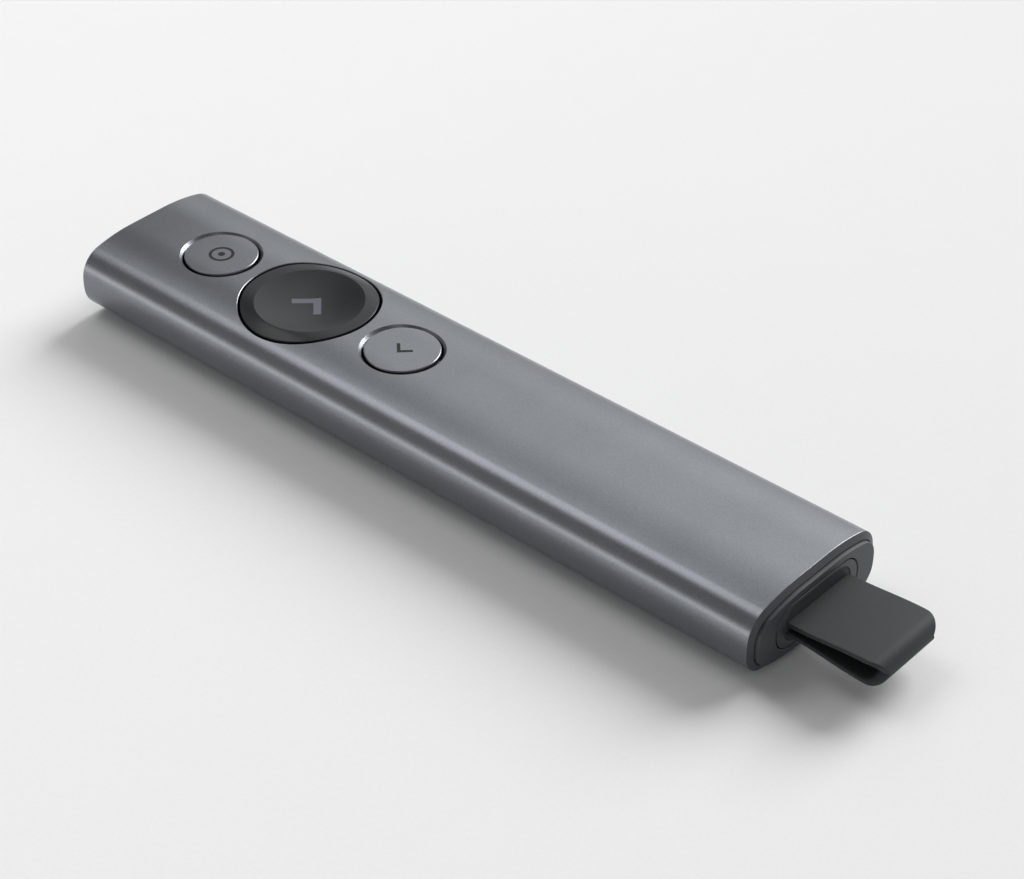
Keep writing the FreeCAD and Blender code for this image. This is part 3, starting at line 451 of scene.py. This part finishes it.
# Circuit boards: glass-epoxy laminate under green solder resist, semi-gloss, with the weave's
# faint unevenness about 0.5 mm apart.
laminate = surface("glass-epoxy laminate, green resist", "#0F4A30", "#15603E", roughness=0.3, grain=0.5,
                   depth=0.004, IOR=1.55)
finish_nodes(laminate, "main_board", "receiver_board")

# Chips, antenna block and connector tongues: black moulding resin, matt, with the fine grain of
# its filler about 0.12 mm apart.
resin = surface("epoxy moulding resin, matt", "#18191B", "#222325", roughness=0.6, grain=0.12, depth=0.004,
                IOR=1.56)
finish_nodes(resin, "radio_chip", "motion_sensor", "antenna", "charging_port_tongue", "receiver_tongue",
             "receiver_chip")

# Crystal can, port shell and plug shell: stamped sheet, nickel-plated and bright, with a slight
# waviness from the press about 0.4 mm long.
nickel = surface("nickel-plated sheet, stamped", "#B3B1AB", "#C6C4BE", roughness=0.22, grain=0.4, depth=0.002,
                 Metallic=1.0)
finish_nodes(nickel, "crystal", "charging_port_shell", "receiver_plug_shell")

# Contacts of the receiver's plug: copper alloy strip under a flash of gold, smooth and shiny,
# set into the tongue.
gold = surface("gold flash on copper alloy", "#CFA24A", "#DDB35C", roughness=0.25, grain=0.2, depth=0.001,
               Metallic=1.0)
finish_nodes(gold, "receiver_contacts")

# Battery: a pouch cell in aluminium laminate, dull silver, its embossing about 0.6 mm apart. Its
# flat leads lie in red and black PVC sleeves with a soft shine.
pouch = surface("aluminium pouch laminate, embossed", "#9A9DA0", "#B2B5B8", roughness=0.38, grain=0.6,
                depth=0.01, Metallic=0.8)
red_lead = surface("PVC lead, red", "#8E1B18", "#A02420", roughness=0.42, grain=0.3, depth=0.003, IOR=1.53)
black_lead = surface("PVC lead, black", "#141414", "#1E1E1E", roughness=0.42, grain=0.3, depth=0.003,
                     IOR=1.53)
finish_nodes(pouch, "battery_cell")
finish_nodes(red_lead, "battery_lead_plus")
finish_nodes(black_lead, "battery_lead_minus")

# Vibration motor: a coin-shaped can, deep-drawn from stainless sheet, which is left bright with
# faint drawing marks about 0.3 mm apart.
motor_steel = surface("stainless sheet, deep-drawn", "#A3A29E", "#B5B4B0", roughness=0.28, grain=0.3,
                      depth=0.002, Metallic=1.0)
finish_nodes(motor_steel, "vibration_motor")

# Status light and its pipe, which leads to the pin hole: clear moulded polycarbonate, polished,
# with a slight haze.
clear = surface("polycarbonate, clear", "#E6EAEC", "#F2F4F5", roughness=0.12, grain=0.5, depth=0.0005,
                IOR=1.58, Transmission_Weight=0.9)
finish_nodes(clear, "status_led", "status_light_pipe")

# Round button caps: aluminium turned from bar, blasted and anodised with the sleeve. Their tops
# carry on the sleeve's crown, and a narrow edge is turned round each. A plunger goes down to the
# switch, and two lips keep the cap in.
ROUND_CAP, ROUND_CAP_DEPTH = 5.72, 1.8
CAP_EDGE = 0.12
SIGN_RELIEF = 0.012
CENTRE_LOOP = 0.6
PLUNGER_RADIUS, PLUNGER_ROOT = 1.6, 0.3
LIP_HALF_WIDTH, LIP_THICKNESS = 2.5, 0.55
ROUND_POINTS, ROUND_LOOPS = 120, 10
turns = 2 * np.pi * np.arange(ROUND_POINTS) / ROUND_POINTS


def round_loop(x, radius, height):
    """Circle about an upright axis at x, its height a number or a function of the circle's y."""
    y = radius * np.sin(turns)
    z = height(y) if callable(height) else np.full_like(y, height)
    return np.stack([x + radius * np.cos(turns), y, z], axis=1)


def crown(lowered):
    """Height function of the sleeve's crown, lowered by a measure."""
    return lambda y: top_height(y) - lowered


def plunger_shell(node, x, underside):
    """Rod under a cap, from the bottom of the CAD node up into the cap."""
    bottom = cad_box(node)[0][2]
    return skin([round_loop(x, PLUNGER_RADIUS, height) for height in (bottom, underside + PLUNGER_ROOT)])


def lip_shell(node):
    """Flat bar through the cap, as long as the CAD node, whose two ends reach under the sleeve."""
    low, high = cad_box(node)
    lip_top = BODY_HEIGHT - bore_inset
    x = np.array([low[0], high[0], high[0], low[0]])
    y = np.array([-LIP_HALF_WIDTH, -LIP_HALF_WIDTH, LIP_HALF_WIDTH, LIP_HALF_WIDTH])
    return skin([np.stack([x, y, np.full(4, z)], axis=1) for z in (lip_top - LIP_THICKNESS, lip_top)])


def together(*shells):
    """Several shells as one set of points and faces."""
    points = []
    faces = []
    count = 0
    for shell_points, shell_faces in shells:
        points.append(shell_points)
        faces += [face + count for face in shell_faces]
        count += len(shell_points)
    return np.concatenate(points), faces


def crown_cap(name, node, x, body):
    """Round cap: on the crown but for the sign's relief, with a narrow edge, and flat below."""
    underside = BODY_HEIGHT - ROUND_CAP_DEPTH
    radii = np.linspace(CENTRE_LOOP, ROUND_CAP - CAP_EDGE, ROUND_LOOPS)
    loops = [round_loop(x, radius, crown(SIGN_RELIEF)) for radius in radii]
    loops += [round_loop(x, ROUND_CAP, crown(CAP_EDGE)), round_loop(x, ROUND_CAP, underside)]
    shells = together(skin(loops), plunger_shell(node, x, underside), lip_shell(node))
    make_piece(name, *shells, anodised, body, "cap_metal", [node], edge=0.03)


crown_cap("pointer_cap", "pointer_button_cap", POINTER_X, "pointer_button")
crown_cap("back_cap", "back_button_cap", BACK_X, "back_button")

# Next button cap: moulded in charcoal polycarbonate with a satin face, whose grain of about
# 0.05 mm is drawn 0.14 mm apart. Its rim climbs from the sleeve's crown to a level circle, inside
# which the thumb's dish is sunk.
NEXT_CAP, NEXT_CAP_DEPTH, NEXT_CAP_EDGE = 10.5, 2.2, 0.08
DISH_RADIUS, DISH_DEPTH = 8.4, 0.9
DISH_LEVEL = BODY_HEIGHT - DISH_DEPTH - SIGN_RELIEF
RIM_START, RIM_CURVE = 0.15, 1.3
DISH_LOOPS, RIM_LOOPS = 18, 10
next_plastic = surface("moulded polycarbonate, satin charcoal", "#171A1B", "#1C1F21", roughness=0.3,
                       grain=0.14, depth=0.002, IOR=1.49, Specular_IOR_Level=0.32)


def dish_height(radius):
    """Height of the dish at a radius, on a sphere through its rim and its lowest point."""
    sphere = (DISH_RADIUS ** 2 + DISH_DEPTH ** 2) / (2 * DISH_DEPTH)
    return DISH_LEVEL + sphere - math.sqrt(sphere ** 2 - radius ** 2)


def rim_height(radius):
    """Height function of the rim: the dish's level edge, blended down to the crown outside it.

    The blend is the share of the rim's width, to the power that gives the rim its curve.
    """
    blend = ((radius - DISH_RADIUS) / (NEXT_CAP - DISH_RADIUS)) ** RIM_CURVE
    level = dish_height(DISH_RADIUS)
    return lambda y: level + (top_height(y * NEXT_CAP / radius) - level) * blend


next_underside = BODY_HEIGHT - NEXT_CAP_DEPTH
next_loops = [round_loop(NEXT_X, radius, dish_height(radius))
              for radius in np.linspace(CENTRE_LOOP, DISH_RADIUS, DISH_LOOPS)]
next_loops += [round_loop(NEXT_X, radius, rim_height(radius))
               for radius in np.linspace(DISH_RADIUS + RIM_START, NEXT_CAP - NEXT_CAP_EDGE, RIM_LOOPS)]
next_loops += [round_loop(NEXT_X, NEXT_CAP, height) for height in (crown(NEXT_CAP_EDGE), next_underside)]
next_shells = together(skin(next_loops), plunger_shell("next_button_cap", NEXT_X, next_underside),
                       lip_shell("next_button_cap"))
make_piece("next_cap", *next_shells, next_plastic, "next_button", "dark_cap_plastic", ["next_button_cap"],
           edge=0.03, sharp=8)

# Signs: enamel ink filled into shallow pockets and cured flush, nearly matt. Dark on the metal
# caps and a light blue-grey in the dish.
dark_ink = surface("enamel ink, charcoal", "#111213", "#17181A", roughness=0.6, grain=0.1, depth=0.002,
                   IOR=1.5, Specular_IOR_Level=0.3)
light_ink = surface("enamel ink, blue-grey", "#5A5D66", "#62656E", roughness=0.5, grain=0.1, depth=0.002,
                    IOR=1.5, Specular_IOR_Level=0.3)
finish_nodes(dark_ink, "pointer_sign", "back_sign")
finish_nodes(light_ink, "next_sign")

# End ring: the same grained nylon as the front cap, moulded with the end cap's seat inside it
# and a sloping rim that covers the end of the tube. Two screws hold it on the carrier.
RING_INSET, RING_SLOPE, RING_FLANGE, RING_LEDGE = 1.0, 0.5, 0.25, 0.85
RING_FOOT, CREST_DROP = 0.02, 0.03
PLATE_GAP = 0.12
RECEIVER_GAP = 0.15
receiver_low, receiver_high = cad_box("receiver_housing")
RECEIVER_WIDTH, RECEIVER_HEIGHT = (receiver_high - receiver_low)[1:]
RECEIVER_HALF_SIDE = 0.25
RECEIVER_CORNER = RECEIVER_HEIGHT / 2 - RECEIVER_HALF_SIDE
PLATE_FACE_X = receiver_high[0]


def slot_loop(width, height, corner, x):
    """Closed loop along a rounded rectangle about the body's axis, at x."""
    y, z = section(loop_shares, width / 2 - corner, ((corner, math.pi / 2),), height / 2 - corner)
    return np.stack([np.full(LOOP_POINTS, x), y, MID_Z + z], axis=1)


def bay_loop(gap, x):
    """The receiver's own outline with a gap round it, at x."""
    return slot_loop(RECEIVER_WIDTH + 2 * gap, RECEIVER_HEIGHT + 2 * gap, RECEIVER_CORNER + gap, x)


seat_x = REAR_X + RING_FLANGE
ledge_x = seat_x - RING_LEDGE
crest_x = REAR_X + RING_SLOPE
seat_inset = RING_INSET + PLATE_GAP / 2
ring_loops = [bay_loop(RECEIVER_GAP, ledge_x), body_loop(bore_inset, ledge_x), body_loop(bore_inset, REAR_X),
              body_loop(RING_FOOT, REAR_X), body_loop(RING_INSET, crest_x),
              body_loop(seat_inset, crest_x - CREST_DROP), body_loop(seat_inset, seat_x),
              bay_loop(RECEIVER_GAP, seat_x)]
make_piece("rear_ring", *skin(ring_loops, joined=True), end_plastic, "handset", "end_plastic", ["end_ring"],
           edge=0.05)

# End cap: the plate snapped over the screws, with the mouth of the receiver's bay, its outer
# edge and its mouth both lightly rounded. The same nylon.
PLATE_EDGE = 0.12
plate_inset = RING_INSET + PLATE_GAP * 1.5
edge_x = PLATE_FACE_X - PLATE_EDGE
plate_loops = [bay_loop(RECEIVER_GAP, seat_x), body_loop(plate_inset, seat_x), body_loop(plate_inset, edge_x),
               body_loop(plate_inset + PLATE_EDGE, PLATE_FACE_X),
               bay_loop(RECEIVER_GAP + PLATE_EDGE, PLATE_FACE_X), bay_loop(RECEIVER_GAP, edge_x)]
make_piece("rear_plate", *skin(plate_loops, joined=True), end_plastic, "handset", "end_plastic", ["end_cap"],
           edge=0.04)

# Receiver housing: moulded in the same nylon, slid in flush with the end cap. Its face has a
# raised rim round a shallow recess, and its inner end is open for the plug.
RECESS_SIDE_RIM, RECESS_TOP_RIM, RECESS_DEPTH = 1.6, 0.6, 0.7
RECESS_EDGE, RECESS_HALF_SIDE = 0.08, 0.35
RECESS_WIDTH = RECEIVER_WIDTH - 2 * RECESS_SIDE_RIM
RECESS_HEIGHT = RECEIVER_HEIGHT - 2 * RECESS_TOP_RIM
RECESS_CORNER = RECESS_HEIGHT / 2 - RECESS_HALF_SIDE
PLUG_WIDTH, PLUG_HEIGHT, PLUG_CORNER, PLUG_ROOT = 12.0, 4.5, 0.5, 8.0
inner_end_x = receiver_low[0]
lip_x = PLATE_FACE_X - RECESS_EDGE
housing_loops = [slot_loop(PLUG_WIDTH, PLUG_HEIGHT, PLUG_CORNER, inner_end_x + PLUG_ROOT),
                 slot_loop(PLUG_WIDTH, PLUG_HEIGHT, PLUG_CORNER, inner_end_x),
                 bay_loop(-RECESS_EDGE, inner_end_x), bay_loop(0.0, inner_end_x + RECESS_EDGE),
                 bay_loop(0.0, lip_x), bay_loop(-RECESS_EDGE, PLATE_FACE_X),
                 slot_loop(RECESS_WIDTH + 2 * RECESS_EDGE, RECESS_HEIGHT + 2 * RECESS_EDGE,
                           RECESS_CORNER + RECESS_EDGE, PLATE_FACE_X),
                 slot_loop(RECESS_WIDTH, RECESS_HEIGHT, RECESS_CORNER, lip_x),
                 slot_loop(RECESS_WIDTH, RECESS_HEIGHT, RECESS_CORNER, PLATE_FACE_X - RECESS_DEPTH)]
make_piece("receiver_body", *skin(housing_loops), end_plastic, "receiver", "end_plastic",
           ["receiver_housing"], edge=0.04)

# Receiver strap: a band of silicone rubber, moulded as one with the collar that fills the recess
# and folded back on itself, so that it opens into a loop. Matt, with the fine even grain of a
# blasted mould, which is drawn 0.18 mm apart so that it shows.
STRAP_SAG = 0.15
# The band is a little wider and shorter than its CAD node, as it is in the photograph.
STRAP_WIDTH, TIP_SHORT = 13.85, 0.65
STRAP_TIP_X = cad_box("receiver_strap")[1][0] - TIP_SHORT
ROOT_HALF, TIP_RADIUS = 1.08, 2.0
GAP_ROOT_HALF, GAP_TIP_RADIUS, TIP_WALL = 0.4, 1.3, 1.6
TIP_CORNER_LENGTH, TIP_CORNER_DEPTH = 2.7, 1.62
EDGE_SHARE, EDGE_LEAST, EDGE_MOST = 0.42, 0.2, 0.65
TIP_PATH = 0.25
SIDE_STEPS, TIP_STEPS, BAND_AROUND = 40, 33, 48
COLLAR_SINK, COLLAR_RISE, COLLAR_STEPS = 0.12, 0.2, 12
COLLAR_FIT, COLLAR_SIDE, COLLAR_FLOOR = 0.02, 0.03, 0.01
collar_x = PLATE_FACE_X - COLLAR_SINK
root_x = collar_x + COLLAR_RISE
rubber = surface("moulded silicone rubber, matt", "#282B2C", "#303435", roughness=0.65, grain=0.18,
                 depth=0.006, IOR=1.42)


def fold(path, end_x, root_half, tip_radius):
    """Side view of a fold, as arrays x and z, for a path from -1 at the lower root to 1 at the upper.

    Each side rises from the root to the tip's radius on a half cosine, which leaves and arrives
    level. The tip is a half circle, run through while the path is within TIP_PATH of 0.
    """
    centre_x = end_x - tip_radius
    turn = np.clip(path / TIP_PATH, -1, 1) * np.pi / 2
    side = np.clip((np.abs(path) - TIP_PATH) / (1 - TIP_PATH), 0, 1)
    half = root_half + (tip_radius - root_half) * (1 + np.cos(np.pi * side)) / 2
    on_tip = np.abs(path) <= TIP_PATH
    x = np.where(on_tip, centre_x + tip_radius * np.cos(turn), centre_x + (collar_x - centre_x) * side)
    z = np.where(on_tip, tip_radius * np.sin(turn), np.sign(path) * half)
    return x, z


def strap_band():
    """The folded band: a rounded rectangle carried round the fold.

    At each path point the section lies between the outer and the inner fold, its across
    direction along y. Each corner is a quarter circle of EDGE_SHARE of the band's thickness
    there, within limits. In plan the band draws in towards its tip on a quarter ellipse, and it
    sags evenly from its root to its tip.
    """
    path = np.concatenate([np.linspace(-1, -TIP_PATH, SIDE_STEPS, endpoint=False),
                           np.linspace(-TIP_PATH, TIP_PATH, TIP_STEPS),
                           np.linspace(TIP_PATH, 1, SIDE_STEPS + 1)[1:]])
    outer_x, outer_z = fold(path, STRAP_TIP_X, ROOT_HALF, TIP_RADIUS)
    gap_x, gap_z = fold(path, STRAP_TIP_X - TIP_WALL, GAP_ROOT_HALF, GAP_TIP_RADIUS)
    reach = np.clip((outer_x - (STRAP_TIP_X - TIP_CORNER_LENGTH)) / TIP_CORNER_LENGTH, 0, 1)
    half_width = STRAP_WIDTH / 2 - TIP_CORNER_DEPTH * (1 - np.sqrt(1 - reach ** 2))
    thickness = np.hypot(outer_x - gap_x, outer_z - gap_z)[:, None]
    edge = np.clip(EDGE_SHARE * thickness, EDGE_LEAST, EDGE_MOST)
    around = (np.arange(BAND_AROUND)[None, :] + 0.5) * 2 * np.pi / BAND_AROUND
    y = np.sign(np.cos(around)) * (half_width[:, None] - edge) + edge * np.cos(around)
    depth = 0.5 + np.sign(np.sin(around)) * (0.5 - edge / thickness) + edge / thickness * np.sin(around)
    x = gap_x[:, None] + (outer_x - gap_x)[:, None] * depth
    z = gap_z[:, None] + (outer_z - gap_z)[:, None] * depth
    z = z - STRAP_SAG * np.clip((x - root_x) / (STRAP_TIP_X - root_x), 0, 1)
    return skin(list(np.stack([x, y, MID_Z + z], axis=2)))


def collar_section(share, x):
    """Loop of the collar at x as it narrows evenly from the recess to the band's root."""
    fitted = np.array([RECESS_WIDTH, RECESS_HEIGHT]) - COLLAR_FIT
    width, height = fitted + (np.array([STRAP_WIDTH, 2 * ROOT_HALF]) - fitted) * share
    return slot_loop(width, height, min(RECESS_CORNER, height / 2 - COLLAR_SIDE), x)


collar_loops = [collar_section(0.0, PLATE_FACE_X - RECESS_DEPTH + COLLAR_FLOOR)]
collar_loops += [collar_section(share, collar_x + COLLAR_RISE * share)
                 for share in np.linspace(0, 1, COLLAR_STEPS)]
make_piece("pull_strap", *together(strap_band(), skin(collar_loops)), rubber, "receiver", "strap_rubber",
           ["receiver_strap"])

# Floor: a painted white board that carries the object's shadow, even and matt, just under the
# object so that the two don't touch.
FLOOR_SIZE, FLOOR_Z = 4.0, -0.00002
floor_corners = [(x * FLOOR_SIZE / 2, y * FLOOR_SIZE / 2, FLOOR_Z)
                 for x, y in ((-1, -1), (1, -1), (1, 1), (-1, 1))]
floor_mesh = bpy.data.meshes.new("floor")
floor_mesh.from_pydata(floor_corners, [], [(0, 1, 2, 3)])
floor_mesh.materials.append(surface("painted board, white", "#ECECEC", "#EEEEEE", roughness=0.9, grain=0.6,
                                    depth=0.0))
floor = bpy.data.objects.new("floor", floor_mesh)
bpy.context.scene.collection.objects.link(floor)

# Studio walls: a world that is palest just above the horizon and darkens towards the ceiling,
# for the metal to mirror. Levels are given from straight down, 0, to straight up, 1.
SKY_LEVELS = ((0.0, 0.85), (0.52, 0.95), (0.57, 0.6), (0.63, 0.33), (0.7, 0.2), (1.0, 0.15))
world = bpy.data.worlds.new("studio")
bpy.context.scene.world = world
world.use_nodes = True
sky = world.node_tree
view = add_node(sky, "ShaderNodeTexCoord", {}, {}).outputs["Generated"]
rise = add_node(sky, "ShaderNodeSeparateXYZ", {}, {"Vector": view}).outputs["Z"]
lift = add_node(sky, "ShaderNodeMapRange", {},
                {"Value": rise, "From Min": -1.0, "To Min": 0.0, "To Max": 1.0})
levels = add_node(sky, "ShaderNodeValToRGB", {}, {0: lift.outputs[0]})
while len(levels.color_ramp.elements) < len(SKY_LEVELS):
    levels.color_ramp.elements.new(0.5)
for element, (position, level) in zip(levels.color_ramp.elements, SKY_LEVELS):
    element.position = position
    element.color = (level, level, level, 1.0)
sky.links.new(levels.outputs[0], sky.nodes["Background"].inputs["Color"])

# Fill: five softboxes, plain area lamps given in metres and watts. The overhead and the far one
# draw the metal's broad bands, and the strip stands low by the near side and lights its band.


def softbox(name, direction, distance, width, height, watts):
    """Area lamp that faces the object from a direction."""
    lamp = bpy.data.lights.new(name, "AREA")
    lamp.shape = "RECTANGLE"
    lamp.size = width
    lamp.size_y = height
    lamp.energy = watts
    holder = bpy.data.objects.new(name, lamp)
    holder.location = Vector(direction).normalized() * distance
    holder.rotation_euler = holder.location.to_track_quat("Z", "Y").to_euler()
    bpy.context.scene.collection.objects.link(holder)


softbox("overhead softbox", (-0.48, -0.04, 0.85), distance=0.7, width=0.36, height=0.36, watts=0.92)
softbox("far softbox", (-0.4, 0.6, 0.57), distance=0.8, width=0.44, height=0.6, watts=0.88)
softbox("front softbox", (0.5, -0.35, 0.8), distance=0.9, width=0.3, height=0.3, watts=0.18)
softbox("near softbox", (-0.53, -0.6, 0.58), distance=0.7, width=0.4, height=0.3, watts=0.08)
softbox("horizon strip", (-0.53, -0.84, 0.1), distance=0.7, width=0.9, height=0.13, watts=0.66)

# Key: a sun seen through a wide diffuser, from behind the object, so that the floor is even and
# the shadow soft.
KEY_FROM = Vector((0.05, 0.8, 0.5))
key = bpy.data.lights.new("key", "SUN")
key.energy = 3.2
key.angle = math.radians(36)
key_holder = bpy.data.objects.new("key", key)
key_holder.rotation_euler = KEY_FROM.to_track_quat("Z", "Y").to_euler()
bpy.context.scene.collection.objects.link(key_holder)

# Camera: the photograph's own viewpoint, solved from the sleeve's edges and the round buttons.
# The lens is the solved focal length of 2547 pixels on a frame 1024 pixels and 36 mm wide.
AZIMUTH, ELEVATION = math.radians(41.707), math.radians(36.816)
LOOK_AT = Vector((5.733, 7.162, -0.976)) * MM
DISTANCE = 377.5 * MM
away = Vector((math.sin(AZIMUTH) * math.cos(ELEVATION), -math.cos(AZIMUTH) * math.cos(ELEVATION),
               math.sin(ELEVATION)))
camera_data = bpy.data.cameras.new("camera")
camera_data.lens = 89.54
camera_data.sensor_width = 36.0
camera_data.clip_start = 0.01
camera = bpy.data.objects.new("camera", camera_data)
camera.location = LOOK_AT + away * DISTANCE
camera.rotation_euler = away.to_track_quat("Z", "Y").to_euler()
bpy.context.scene.collection.objects.link(camera)
bpy.context.scene.camera = camera
bpy.context.scene.view_settings.view_transform = "Standard"
